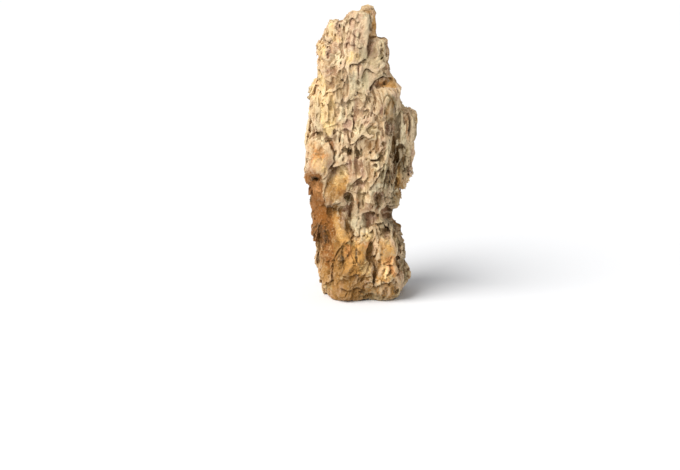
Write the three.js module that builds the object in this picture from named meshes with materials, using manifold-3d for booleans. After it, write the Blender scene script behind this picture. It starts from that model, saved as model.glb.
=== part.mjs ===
// A pillar of dragon stone, the pitted, clay-like rock that is sold for aquariums and miniature landscapes.
// It is one natural piece: masses of rock that grew together, with hollows that water washed out.
// Millimetres, +Z up. The origin is the middle of the flat foot, and -Y is the side that is meant to be seen.
import * as THREE from "three";
import { mergeVertices } from "three/addons/utils/BufferGeometryUtils.js";
import Module from "manifold-3d";

const HEIGHT = 403; // foot to tip
const AROUND = 57; // points in each ring of the skin
const RING_GAP = { least: 5, most: 8.6 }; // height between two rings
const BLEND = 7; // where two masses meet, the corner between them is filled over about this width

// Where the middle of the pillar runs: height, X and Y. Each ring of the skin is drawn round it.
const SPINE = [
  [0, -2, -3],
  [110, -8, 0],
  [240, -14, 0],
  [330, -16, -2],
  [372, -10, -2],
  [HEIGHT, 9, -2],
];

// Each mass of rock is a stack of outlines: height, left, right, front and back.
// Two rows with nearly the same height make a ledge or an overhang.
const MASSES = {
  column: [
    [0, -54, 45, -46, 44],
    [12, -58, 50, -50, 47],
    [40, -61, 50, -51, 50],
    [70, -64, 46, -50, 50],
    [96, -67, 44, -45, 49],
    [118, -70, 41, -40, 47],
    [131, -71, 39, -41, 46],
    [160, -73, 37, -46, 45],
    [178, -76, 37, -47, 44],
    [195, -77, 38, -47, 43],
    [219, -77, 38, -47, 42],
    [229, -74, 37, -46, 41],
    [236, -72, 37, -45, 40],
    [254, -74, 37, -44, 38],
    [268, -71, 36, -43, 36],
    [279, -73, 35, -42, 35],
    [293, -70, 34, -41, 34],
    [306, -62, 33, -39, 32],
    [315, -65, 25, -38, 31],
    [327, -60, 14, -36, 30],
    [345, -61, 11, -35, 28],
    [355, -60, 10, -33, 26],
    [361, -52, 10, -31, 25],
    [376, -47, 11, -28, 22],
    [383, -42, 11, -26, 20],
    [386, -35, 12, -25, 18],
    [389, -21, 12, -22, 15],
    [397, -16, 12, -18, 10],
    [401, -6, 12, -10, 3],
  ],
  crown: [
    [340, -2, 19, -19, 16],
    [362, 2, 20, -22, 15],
    [386, 1, 20, -21, 13],
    [393, 1, 19, -18, 10],
    [399, 3, 17, -13, 6],
    [HEIGHT, 6, 12, -7, 0],
  ],
  crest: [
    [318, -26, 4, -38, 0],
    [323, -28, 8, -44, 0],
    [352, -26, 8, -41, 0],
    [380, -22, 9, -33, 0],
    [395, -16, 8, -22, 0],
  ],
  right_shoulder: [
    [292, -2, 33, -32, 24],
    [312, 0, 36, -35, 25],
    [334, 1, 36, -36, 24],
    [354, 3, 35, -33, 21],
    [361, 12, 34, -26, 14],
  ],
  spur: [
    [214, 10, 40, -26, 20],
    [244, 10, 46, -36, 26],
    [262, 8, 48, -42, 28],
    [284, 8, 50, -43, 28],
    [291, 8, 56, -38, 26],
    [296, 10, 58, -30, 22],
    [302, 12, 44, -30, 20],
    [313, 14, 38, -24, 16],
  ],
  fin: [
    [157, 22, 66, -14, 34],
    [160, 20, 69, -20, 38],
    [172, 18, 71, -22, 40],
    [184, 18, 66, -22, 40],
    [190, 18, 69, -24, 40],
    [202, 18, 73, -26, 40],
    [213, 18, 70, -24, 40],
    [237, 18, 74, -24, 39],
    [256, 18, 74, -24, 37],
    [262, 20, 65, -22, 34],
    [268, 22, 58, -18, 30],
    [277, 24, 50, -14, 24],
  ],
  waist: [
    [126, 12, 44, -16, 34],
    [130, 10, 53, -26, 36],
    [146, 10, 54, -30, 38],
    [162, 10, 50, -28, 38],
  ],
  heel: [
    [0, 4, 52, -44, 42],
    [6, 2, 60, -50, 45],
    [20, 2, 66, -55, 47],
    [32, 2, 67, -57, 48],
    [55, 4, 62, -57, 48],
    [78, 4, 60, -53, 45],
    [92, 6, 56, -44, 42],
    [104, 8, 49, -34, 40],
    [125, 10, 43, -22, 36],
  ],
  apron: [
    [0, -44, 4, -46, 0],
    [8, -46, 6, -52, 0],
    [36, -44, 8, -59, 0],
    [64, -42, 8, -60, 0],
    [84, -38, 6, -54, 0],
    [98, -32, 2, -44, 0],
  ],
  hip: [
    [88, -36, -14, -40, 0],
    [94, -39, -12, -50, 0],
    [110, -42, -12, -52, 0],
    [126, -42, -16, -44, 0],
  ],
  low_slab: [
    [132, -56, -20, -38, 0],
    [139, -58, -15, -50, 0],
    [158, -55, -12, -53, 0],
    [180, -46, -14, -50, 0],
    [196, -38, -18, -44, 0],
  ],
  cheek: [
    [168, -75, -44, -36, 0],
    [174, -77, -40, -46, 0],
    [190, -78, -37, -51, 0],
    [206, -77, -38, -50, 0],
    [222, -75, -42, -43, 0],
    [236, -72, -46, -36, 0],
  ],
  breast: [
    [128, 4, 30, -38, 0],
    [138, 2, 36, -51, 0],
    [176, -4, 40, -57, 0],
    [205, -10, 40, -56, 0],
    [226, -8, 38, -48, 0],
  ],
  collar: [
    [222, -24, 30, -42, 0],
    [227, -26, 38, -54, 0],
    [250, -28, 40, -52, 0],
    [272, -20, 38, -44, 0],
  ],
  temple: [
    [238, -68, -20, -36, 0],
    [244, -72, -18, -48, 0],
    [268, -68, -16, -46, 0],
    [288, -62, -20, -38, 0],
  ],
  back_ridge: [
    [0, -34, 22, 0, 52],
    [30, -36, 24, 0, 58],
    [90, -34, 20, 0, 57],
    [150, -38, 16, 0, 53],
    [210, -34, 14, 0, 51],
    [262, -36, 10, 0, 43],
    [300, -30, 8, 0, 36],
  ],
};
const SQUARENESS = 2.7; // 2 makes every outline an ellipse, more makes it boxier

// Hollows: centre, half sizes along X, Y and Z, and the tilt that leans their top to the right, in degrees.
const HOLLOWS = {
  eye: { at: [25, -40, 300], half: [13, 20, 8], lean: -30 },
  eye_corner: { at: [18, -40, 303], half: [7, 16, 7], lean: -30 },
  throat: { at: [-18, -54, 148], half: [6.5, 14, 8], lean: -8 },
  throat_slit: { at: [-16, -48, 131], half: [4, 12, 16], lean: 4 },
  left_slot: { at: [-64, -48, 174], half: [7, 12, 4], lean: 10 },
  cheek_hole: { at: [-44, -50, 227], half: [4, 10, 3.5], lean: 0 },
  spot: { at: [-18, -52, 208], half: [3.5, 6, 3.5], lean: 30 },
  nostril: { at: [16, -57, 203], half: [4.5, 7, 2.8], lean: -6 },
  fin_pit: { at: [55, -28, 213], half: [6, 9, 8], lean: -20 },
  fin_valley: { at: [45, -30, 199], half: [5, 10, 16], lean: -4 },
  neck_valley: { at: [37, -46, 243], half: [4.5, 9, 15], lean: -6 },
  groin: { at: [20, -52, 139], half: [6, 13, 14], lean: -10 },
  belly_hollow: { at: [9, -45, 113], half: [8, 10, 11], lean: -8 },
  heel_groove: { at: [18, -60, 42], half: [3.5, 11, 18], lean: -4 },
  heel_notch: { at: [50, -52, 62], half: [4, 13, 20], lean: -4 },
  apron_groove: { at: [8, -60, 73], half: [4.5, 12, 14], lean: 10 },
  back_scoop: { at: [-22, 60, 190], half: [16, 12, 26], lean: 12 },
  back_slot: { at: [28, 56, 96], half: [8, 13, 24], lean: -10 },
  back_eye: { at: [4, 48, 276], half: [12, 11, 8], lean: 15 },
  side_scoop: { at: [-80, 6, 116], half: [10, 16, 22], lean: 4 },
  fin_back: { at: [68, 42, 226], half: [12, 9, 20], lean: -12 },
};
const HOLLOW_DETAIL = 1; // subdivisions of the icosahedron that each hollow starts from

// The skin breaks into plates that overlap like scales: each is thickest at its lower edge and hangs over it.
const PLATE = { width: 25, height: 38, lift: 4.4, overhang: 1.1 };
const GRAIN = { size: 17, height: 1.8 };
const SIDE_SHARE = 0.5; // how much of that roughness the left and right outlines get
const DRIFT = { size: 46, height: 11 }; // the ledges rise and fall by this much as they run round the pillar
const FOOT_FADE = 14; // it grows from little at the foot to its full size over this height
const FOOT_SHARE = 0.25; // how much of it the outline of the foot has

// A repeatable number from 0 to 1 for each lattice cell.
function hash(i, j, k, salt) {
  const mixed = Math.sin(i * 127.1 + j * 311.7 + k * 74.7 + salt * 53.3) * 43758.5453;
  return mixed - Math.floor(mixed);
}

// Smooth noise from -1 to 1, with bumps about one unit across.
function noise(x, y, z, salt) {
  const [i, j, k] = [x, y, z].map(Math.floor);
  const [u, v, w] = [x - i, y - j, z - k].map((t) => t * t * (3 - 2 * t));
  const at = (a, b, c) => hash(i + a, j + b, k + c, salt);
  const { lerp } = THREE.MathUtils;
  const edge = (b, c) => lerp(at(0, b, c), at(1, b, c), u);
  return 2 * lerp(lerp(edge(0, 0), edge(1, 0), v), lerp(edge(0, 1), edge(1, 1), v), w) - 1;
}

// How far the nearest plate lifts the skin at this point.
function plateLift(x, y, z) {
  const [px, py, pz] = [x / PLATE.width, y / PLATE.width, z / PLATE.height];
  const [i, j, k] = [px, py, pz].map(Math.floor);
  let nearest = Infinity;
  let lift = 0;
  for (let a = i - 1; a <= i + 1; a++)
    for (let b = j - 1; b <= j + 1; b++)
      for (let c = k - 1; c <= k + 1; c++) {
        const [cx, cy, cz] = [a + hash(a, b, c, 1), b + hash(a, b, c, 2), c + hash(a, b, c, 3)];
        const distance = (px - cx) ** 2 + (py - cy) ** 2 + (pz - cz) ** 2;
        if (distance >= nearest) continue;
        nearest = distance;
        lift = hash(a, b, c, 4) - 0.5 - 0.9 * (pz - cz);
      }
  return PLATE.lift * THREE.MathUtils.clamp(lift, -1, 1);
}

// The row of a table at a height, mixed from the rows above and below it, without its height.
function rowAt(rows, z) {
  const above = Math.max(1, rows.findIndex(([top]) => top >= z));
  const [low, high] = [rows[above - 1], rows[above]];
  const share = (z - low[0]) / (high[0] - low[0]);
  return low.slice(1).map((value, n) => THREE.MathUtils.lerp(value, high[n + 1], share));
}

// The heights of the skin's rings: where a mass begins or ends or bends, and enough between to keep to the gap.
function ringHeights() {
  const wanted = Object.values(MASSES).flatMap((rows) => rows.map(([z]) => z));
  const ledges = new Set(Object.values(MASSES).map((rows) => rows[0][0]));
  const heights = [0];
  for (const z of [...new Set(wanted)].sort((a, b) => a - b)) {
    const gap = z - heights.at(-1);
    if (gap < RING_GAP.least && !(gap > 0.5 && (ledges.has(z) || z === HEIGHT))) continue;
    const parts = Math.ceil(gap / RING_GAP.most);
    const low = heights.at(-1);
    for (let p = 1; p <= parts; p++) heights.push(low + (gap * p) / parts);
  }
  return heights;
}

// How far the spine's ray in this direction runs before it leaves a mass for the last time.
function reach(rows, z, [fromX, fromY], [alongX, alongY]) {
  if (z < rows[0][0] || z > rows.at(-1)[0]) return 0;
  const [left, right, front, back] = rowAt(rows, z);
  const [middleX, middleY] = [(left + right) / 2, (front + back) / 2];
  const inside = (t) => {
    const u = Math.abs((fromX + t * alongX - middleX) / (right - middleX));
    const v = Math.abs((fromY + t * alongY - middleY) / (back - middleY));
    return u ** SQUARENESS + v ** SQUARENESS <= 1;
  };
  let far = 130;
  while (far > 0 && !inside(far)) far -= 3;
  if (far <= 0) return 0;
  let beyond = far + 3;
  for (let n = 0; n < 8; n++) {
    const half = (far + beyond) / 2;
    if (inside(half)) far = half;
    else beyond = half;
  }
  return far;
}

// The larger of two lengths, with the corner between them filled.
function blend(a, b) {
  const fill = Math.max(BLEND - Math.abs(a - b), 0);
  return Math.max(a, b) + (fill * fill) / (4 * BLEND);
}

// The whole skin: a round bar whose rings are moved out to the masses and then roughened.
function skinGeometry() {
  const heights = ringHeights();
  const bar = new THREE.CylinderGeometry(1, 1, 1, AROUND, heights.length - 1);
  bar.rotateX(Math.PI / 2); // its axis is now along Z
  const place = bar.attributes.position;
  for (let n = 0; n < place.count; n++) {
    const along = [place.getX(n), place.getY(n)];
    const z = heights[Math.round((place.getZ(n) + 0.5) * (heights.length - 1))];
    const spine = rowAt(SPINE, z);
    if (Math.hypot(...along) < 0.5) {
      place.setXYZ(n, ...spine, z); // the middle of an end
      continue;
    }
    const reaches = Object.values(MASSES).map((rows) => reach(rows, z, spine, along));
    const out = reaches.reduce(blend);
    const [x, y] = [spine[0] + out * along[0], spine[1] + out * along[1]];
    const free = THREE.MathUtils.smoothstep(z, 0, FOOT_FADE) * THREE.MathUtils.smoothstep(HEIGHT - z, 0, FOOT_FADE);
    const rough = plateLift(x, y, z) + GRAIN.height * noise(x / GRAIN.size, y / GRAIN.size, z / GRAIN.size, 7);
    const lift = rough * Math.max(free, FOOT_SHARE);
    const sag = PLATE.overhang * Math.max(rough, 0) * free;
    const drift = DRIFT.height * noise(x / DRIFT.size, y / DRIFT.size, z / (2 * DRIFT.size), 11) * along[1] ** 2 * free;
    place.setXYZ(n, x + SIDE_SHARE * lift * along[0], y + lift * along[1], z - sag + drift);
  }
  return bar;
}

function hollowGeometry({ at, half, lean }) {
  const hollow = new THREE.IcosahedronGeometry(1, HOLLOW_DETAIL);
  hollow.scale(...half);
  hollow.rotateY(THREE.MathUtils.degToRad(lean));
  hollow.translate(...at);
  return hollow;
}

// A closed mesh becomes a solid that can be cut.
function solidOf(wasm, geometry) {
  geometry.deleteAttribute("normal");
  geometry.deleteAttribute("uv");
  const merged = mergeVertices(geometry, 1e-3);
  const mesh = new wasm.Mesh({
    numProp: 3,
    vertProperties: merged.attributes.position.array,
    triVerts: new Uint32Array(merged.index.array),
  });
  return new wasm.Manifold(mesh);
}

function geometryOf(solid) {
  const { vertProperties, triVerts } = solid.getMesh();
  return new THREE.BufferGeometry()
    .setAttribute("position", new THREE.BufferAttribute(new Float32Array(vertProperties), 3))
    .setIndex(new THREE.BufferAttribute(new Uint32Array(triVerts), 1));
}

const wasm = await Module();
wasm.setup();

let rock = solidOf(wasm, skinGeometry());
for (const hollow of Object.values(HOLLOWS)) rock = rock.subtract(solidOf(wasm, hollowGeometry(hollow)));

const stone = new THREE.Mesh(
  geometryOf(rock),
  new THREE.MeshStandardMaterial({ color: 0xbe9f76, roughness: 0.9, metalness: 0, flatShading: true }),
);
stone.name = "dragon_stone";

const part = new THREE.Group();
part.add(stone);
export default part;
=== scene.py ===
# %% [markdown]
# # A pillar of dragon stone
#
# Dragon stone is a soft, clay-like rock. Water washes the softer parts out of it, which leaves overlapping
# scales, narrow flutes, scallops and deep pits. This lesson starts from a plain faceted solid of the right
# size, carves that skin into it as a volume, and then paints it with nodes.
#
# Everything is in the solid's own frame: metres, Z up, and the side meant to be seen faces -Y.

# %% The solid that sets the size
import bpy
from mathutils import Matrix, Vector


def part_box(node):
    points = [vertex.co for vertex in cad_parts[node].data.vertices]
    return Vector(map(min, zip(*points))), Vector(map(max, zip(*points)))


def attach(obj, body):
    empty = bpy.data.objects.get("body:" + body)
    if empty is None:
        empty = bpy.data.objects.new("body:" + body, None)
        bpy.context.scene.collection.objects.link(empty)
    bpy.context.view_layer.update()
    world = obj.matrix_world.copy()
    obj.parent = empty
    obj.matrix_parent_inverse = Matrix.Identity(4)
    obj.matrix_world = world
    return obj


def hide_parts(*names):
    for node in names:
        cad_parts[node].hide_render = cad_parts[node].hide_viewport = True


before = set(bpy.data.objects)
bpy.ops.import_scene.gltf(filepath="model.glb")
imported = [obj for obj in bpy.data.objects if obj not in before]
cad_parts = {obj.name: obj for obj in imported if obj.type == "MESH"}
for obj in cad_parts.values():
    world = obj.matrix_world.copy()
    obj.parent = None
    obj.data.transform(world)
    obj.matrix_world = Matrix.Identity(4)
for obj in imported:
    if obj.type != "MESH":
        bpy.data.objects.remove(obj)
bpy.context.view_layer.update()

from concurrent.futures import ThreadPoolExecutor

import bmesh
import bpy
import numpy as np
import openvdb
from mathutils import Vector

MM = 0.001
NODE = "dragon_stone"
low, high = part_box(NODE)
print("the solid is", [round((b - a) / MM, 1) for a, b in zip(low, high)], "mm")

# %% [markdown]
# ## The camera, the floor and the light
#
# A stone like this is shown standing on a pale sheet, seen from a little above. A long lens keeps the
# upright edges straight. Depth of field stays off, so every pit is sharp. The light comes from a bright
# room and one wide lamp, high on the left, so that each ledge has a soft shadow under it. An area lamp
# would do too, but it gets weaker along the stone, and a sun lamp lights the foot as it does the top.

# %% The camera
scene = bpy.context.scene
IMAGE_WIDTH = 680
SENSOR = 36.0  # mm
CAMERA_DISTANCE = 1.6
CAMERA_RISE = np.radians(14.0)
MM_PER_COLUMN = 1.42  # what one of the render's columns covers at the stone
LOOK_AT = Vector((-0.0300, 0.0, 0.0840))

camera = bpy.data.objects.new("camera", bpy.data.cameras.new("camera"))
scene.collection.objects.link(camera)
backwards = Vector((0.0, -np.cos(CAMERA_RISE), np.sin(CAMERA_RISE)))
camera.location = LOOK_AT + backwards * CAMERA_DISTANCE
camera.rotation_euler = (-backwards).to_track_quat("-Z", "Y").to_euler()
camera.data.sensor_width = SENSOR
camera.data.lens = SENSOR * CAMERA_DISTANCE / (IMAGE_WIDTH * MM_PER_COLUMN * MM)
scene.camera = camera
print("lens", round(camera.data.lens, 1), "mm")


# %% Colours and nodes
def linear(hex_colour):
    """The linear colour that an sRGB hex colour stands for."""
    parts = [int(hex_colour[i:i + 2], 16) / 255 for i in (1, 3, 5)]
    curve = [p / 12.92 if p <= 0.04045 else ((p + 0.055) / 1.055) ** 2.4 for p in parts]
    return (*curve, 1.0)


def add(tree, kind, settings=None, **inputs):
    """Adds a node. Settings are its properties; inputs are values, or the sockets to link from. An input
    called _6 is the node's socket number 6, for sockets that share a name with another."""
    node = tree.nodes.new(kind)
    for name, value in (settings or {}).items():
        setattr(node, name, value)
    for name, value in inputs.items():
        key = int(name[1:]) if name[0] == "_" and name[1:].isdigit() else name.replace("_", " ")
        socket = node.inputs[key]
        if isinstance(value, bpy.types.NodeSocket):
            tree.links.new(value, socket)
        else:
            socket.default_value = value
    return node


def new_material(name):
    """An empty node material, with its Principled shader."""
    material = bpy.data.materials.new(name)
    material.use_nodes = True
    return material, material.node_tree, material.node_tree.nodes["Principled BSDF"]


print("the middle grey #808080 is", round(linear("#808080")[0], 3), "in linear light")


# %% The pale sheet it stands on
SHEET_SIZE = 40.0  # m, so that its far edge is out of view
sheet_mesh = bpy.data.meshes.new("pale_sheet")
corners = [(x * SHEET_SIZE / 2, y * SHEET_SIZE / 2, 0.0) for x, y in ((-1, -1), (1, -1), (1, 1), (-1, 1))]
sheet_mesh.from_pydata(corners, [], [(0, 1, 2, 3)])
sheet = bpy.data.objects.new("pale_sheet", sheet_mesh)
scene.collection.objects.link(sheet)
cotton, tree, shader = new_material("white_cotton_sheet")
shader.inputs["Base Color"].default_value = linear("#eff3fa")
shader.inputs["Roughness"].default_value = 0.95
sheet_mesh.materials.append(cotton)
print("the sheet is", SHEET_SIZE, "m wide")

# %% The room
# The camera sees a white wall, while the stone gets a dimmer and slightly warm light from it.
ROOM_STRENGTH = 0.42
world = bpy.data.worlds.new("white_room")
scene.world = world
world.use_nodes = True
room = world.node_tree
dim = room.nodes["Background"]
dim.inputs["Color"].default_value = linear("#fcfbf8")
dim.inputs["Strength"].default_value = ROOM_STRENGTH
bright = add(room, "ShaderNodeBackground", {}, Color=linear("#fefefe"), Strength=1.0)
camera_ray = add(room, "ShaderNodeLightPath").outputs["Is Camera Ray"]
wall = add(room, "ShaderNodeMixShader", {}, Fac=camera_ray, _1=dim.outputs[0], _2=bright.outputs[0])
room.links.new(wall.outputs[0], room.nodes["World Output"].inputs["Surface"])
scene.view_settings.view_transform = "Standard"
print("the room's light is", ROOM_STRENGTH, "of the wall's brightness")

# %% The lamp
# The wider the lamp looks from the stone, the softer its shadows.
LAMP_LEFT = np.radians(56)  # from straight in front
LAMP_RISE = np.radians(48)  # above the sheet
LAMP_WIDTH = np.radians(44)
LAMP_STRENGTH = 3.45

lamp = bpy.data.objects.new("key_light", bpy.data.lights.new("key_light", "SUN"))
lamp.data.angle = LAMP_WIDTH
lamp.data.energy = LAMP_STRENGTH
lamp.data.color = linear("#fffaf3")[:3]
towards = Vector((-np.sin(LAMP_LEFT) * np.cos(LAMP_RISE), -np.cos(LAMP_LEFT) * np.cos(LAMP_RISE),
                  np.sin(LAMP_RISE)))
lamp.rotation_euler = towards.to_track_quat("Z", "Y").to_euler()
scene.collection.objects.link(lamp)
print("the lamp is towards", [round(v, 2) for v in towards])

# %% [markdown]
# ## From facets to a volume
#
# A rock surface folds over itself: a scale hangs over the hollow under it. Pushing the vertices of a mesh
# in and out can't make that, so the solid is turned into a volume first. Each small cube of the volume
# holds its distance to the skin, less than zero inside. OpenVDB, which comes with Blender, makes it.

# %% The distance volume
VOXEL = 1.0  # mm
BAND = 13.0  # mm of distance kept on each side of the skin
MARGIN = 9.0  # mm of empty space round the solid

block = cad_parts[NODE].data
block.calc_loop_triangles()
corner_place = np.empty(len(block.vertices) * 3, np.float32)
block.vertices.foreach_get("co", corner_place)
corner_place = corner_place.reshape(-1, 3) / MM
triangles = np.empty(len(block.loop_triangles) * 3, np.int32)
block.loop_triangles.foreach_get("vertices", triangles)

to_mm = openvdb.createLinearTransform(voxelSize=VOXEL)
distance = openvdb.FloatGrid.createLevelSetFromPolygons(
    corner_place, triangles=triangles.reshape(-1, 3).astype(np.uint32),
    transform=to_mm, halfWidth=BAND / VOXEL)
first = np.floor((corner_place.min(0) - MARGIN) / VOXEL).astype(int)
last = np.ceil((corner_place.max(0) + MARGIN) / VOXEL).astype(int)
volume = np.empty(last - first + 1, np.float32)
distance.copyToArray(volume, ijk=tuple(int(i) for i in first))
print("the volume has", volume.shape, "cubes of", VOXEL, "mm")


# %% Softening the facets
def soften(values, width):
    """Blurs a volume with a Gaussian whose sigma is this many mm."""
    sigma = width / VOXEL
    reach = max(1, int(np.ceil(2.5 * sigma)))
    weights = np.exp(-0.5 * (np.arange(-reach, reach + 1) / sigma) ** 2).astype(np.float32)
    weights /= weights.sum()
    for axis in range(3):
        padded = np.pad(values, [(reach, reach) if a == axis else (0, 0) for a in range(3)], mode="edge")
        length = values.shape[axis]
        values = sum(w * np.take(padded, range(n, n + length), axis) for n, w in enumerate(weights))
    return values


FACET_SOFTNESS = 2.6  # mm, rounds the facets away but keeps the ledges
skin = soften(volume, FACET_SOFTNESS)
moved = np.abs(skin - volume)[np.abs(volume) < VOXEL].max()
print("softening moved the skin by up to", round(float(moved), 1), "mm")

# %% The thin shell that gets carved
CARVE_REACH = 9.5  # mm on each side of the skin
shell = np.nonzero(np.abs(skin.ravel()) < CARVE_REACH)[0]
i, j, k = np.unravel_index(shell, skin.shape)
px, py, pz = [((n + start) * VOXEL).astype(np.float32) for n, start in zip((i, j, k), first)]
depth = skin.ravel()[shell]
print(len(shell), "cubes near the skin")

# %% [markdown]
# ## Patterns that repeat nowhere
#
# Two patterns make nearly all rock relief. Soft noise gives lumps. Cells, the space nearest to each of
# many scattered points, give scales and scallops. Both are worked out at any place in space, so the
# places can first be bent and stretched, which hides their regular origin. Blender's mathutils.noise has
# both, but takes one place at a time. The volume has millions, so numpy works them out all together.

# %% Soft noise
TABLE = 64


def soft_noise(x, y, z, seed):
    """Smooth noise from -1 to 1 with lumps about one unit across."""
    table = np.random.default_rng(seed).uniform(-1, 1, TABLE ** 3).astype(np.float32)
    whole = [np.floor(v).astype(np.int32) for v in (x, y, z)]
    part = [v - w for v, w in zip((x, y, z), whole)]
    ease = [p * p * p * (p * (p * 6 - 15) + 10) for p in part]
    near = [w & (TABLE - 1) for w in whole]
    far = [(w + 1) & (TABLE - 1) for w in whole]
    sheets = []
    for zi in (near[2], far[2]):
        rows = []
        for yi in (near[1], far[1]):
            at = yi * TABLE + zi
            start = table[near[0] * TABLE ** 2 + at]
            rows.append(start + ease[0] * (table[far[0] * TABLE ** 2 + at] - start))
        sheets.append(rows[0] + ease[1] * (rows[1] - rows[0]))
    return sheets[0] + ease[2] * (sheets[1] - sheets[0])


line = np.linspace(0, 3, 7, dtype=np.float32)
print("noise along a line", soft_noise(line, line, line, 1).round(2))


# %% Cells
def cells(x, y, z, seed):
    """For each place: how much further the next cell's centre is than its own, its height over the centre,
    its offset to the right of it, and a number from 0 to 1 that the whole cell shares."""
    table = np.random.default_rng(seed).random((4, TABLE ** 3), dtype=np.float32)
    whole = [np.floor(v).astype(np.int32) for v in (x, y, z)]
    part = [v - w for v, w in zip((x, y, z), whole)]
    steps = [[(w + s) & (TABLE - 1) for s in (-1, 0, 1)] for w in whole]
    nearest = np.full(x.shape, 9.0, np.float32)
    second = nearest.copy()
    rise, aside, share = (np.zeros(x.shape, np.float32) for _ in range(3))
    for a in range(27):
        n = (a // 9, a // 3 % 3, a % 3)
        at = (steps[0][n[0]] * TABLE + steps[1][n[1]]) * TABLE + steps[2][n[2]]
        off = [part[m] - (n[m] - 1) - table[m][at] for m in range(3)]
        gap = off[0] ** 2 + off[1] ** 2 + off[2] ** 2
        closer = gap < nearest
        second = np.where(closer, nearest, np.minimum(second, gap))
        nearest = np.where(closer, gap, nearest)
        rise = np.where(closer, off[2], rise)
        aside = np.where(closer, off[0], aside)
        share = np.where(closer, table[3][at], share)
    return np.sqrt(second) - np.sqrt(nearest), rise, aside, share


print("the cells along that line", cells(line, line, line, 1)[3].round(2))


# %% Using all the processor's cores
def in_pieces(work, *arrays):
    """Runs work on slices of the arrays at the same time, and joins what it returns."""
    edges = np.linspace(0, len(arrays[0]), 17).astype(int)
    pieces = [[v[a:b] for v in arrays] for a, b in zip(edges, edges[1:])]
    with ThreadPoolExecutor(4) as pool:
        done = list(pool.map(lambda piece: work(*piece), pieces))
    return [np.concatenate(parts) for parts in zip(*done)]


print("cut up, doubled and joined", in_pieces(lambda part: (2 * part,), np.arange(5))[0])


# %% [markdown]
# ## The relief
#
# The relief is how far the skin moves out or in at each place. The scales of this rock are some 9 mm wide
# and 25 mm tall, with smaller ones on them, and they sit on masses of two to five centimetres. Between
# them run flutes 8 mm apart. Every scale is one cell: it stands out by its own amount, leans out towards
# its lower edge, and is turned a little to one side. A stack of Displace modifiers could add such marks
# too. Here every kind is bent by the same noise, so that they flow round each other.
#
# The relief is read a little higher up for places that lie further out. That slides every raised edge
# downwards as it comes forward, so the scales hang.

# %% The sizes of the marks
# All in mm: the width and height of a scale, and how far it stands out by its own amount, by its lean
# towards the foot, and by its turn to the side.
MASSES = (24, 46, 3.6, 3.4, 1.4)
SCALES = (9.0, 25, 2.2, 3.4, 1.2)
SMALL_SCALES = (4.9, 15, 1.2, 1.9, 0.9)
SLABS = (19, 40, 4.0, 3.0, 2.5)  # only below the waist
# The width and height of the other marks. Real fibres and wrinkles are under 1 mm wide, and are drawn
# coarser, to show.
FLUTES = (8.0, 30)
PITS = (6.5, 9)
CRINKLES = (4.6, 13)
FIBRES = (3.0, 13)
WRINKLES = (2.9, 6)
PIT_DEPTH = 4.5
CRINKLE_DEPTH = 1.5
FIBRE_DEPTH = 0.9
WRINKLE_DEPTH = 0.5
HANG = 0.3  # mm that a raised edge drops for each mm that it stands out
PACKED = 65.0  # mm; below about this height the small marks grow shorter, to half as tall at the foot


def smooth_step(a, b, t):
    """0 below a, 1 above b, and an eased change between."""
    s = np.clip((t - a) / (b - a), 0, 1)
    return s * s * (3 - 2 * s)


def ridges(x, y, z, seed):
    """Sharp wavy crests, up to 1, with round hollows between them, down to about -1."""
    return 1 - 2.2 * np.abs(soft_noise(x, y, z, seed))


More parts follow.
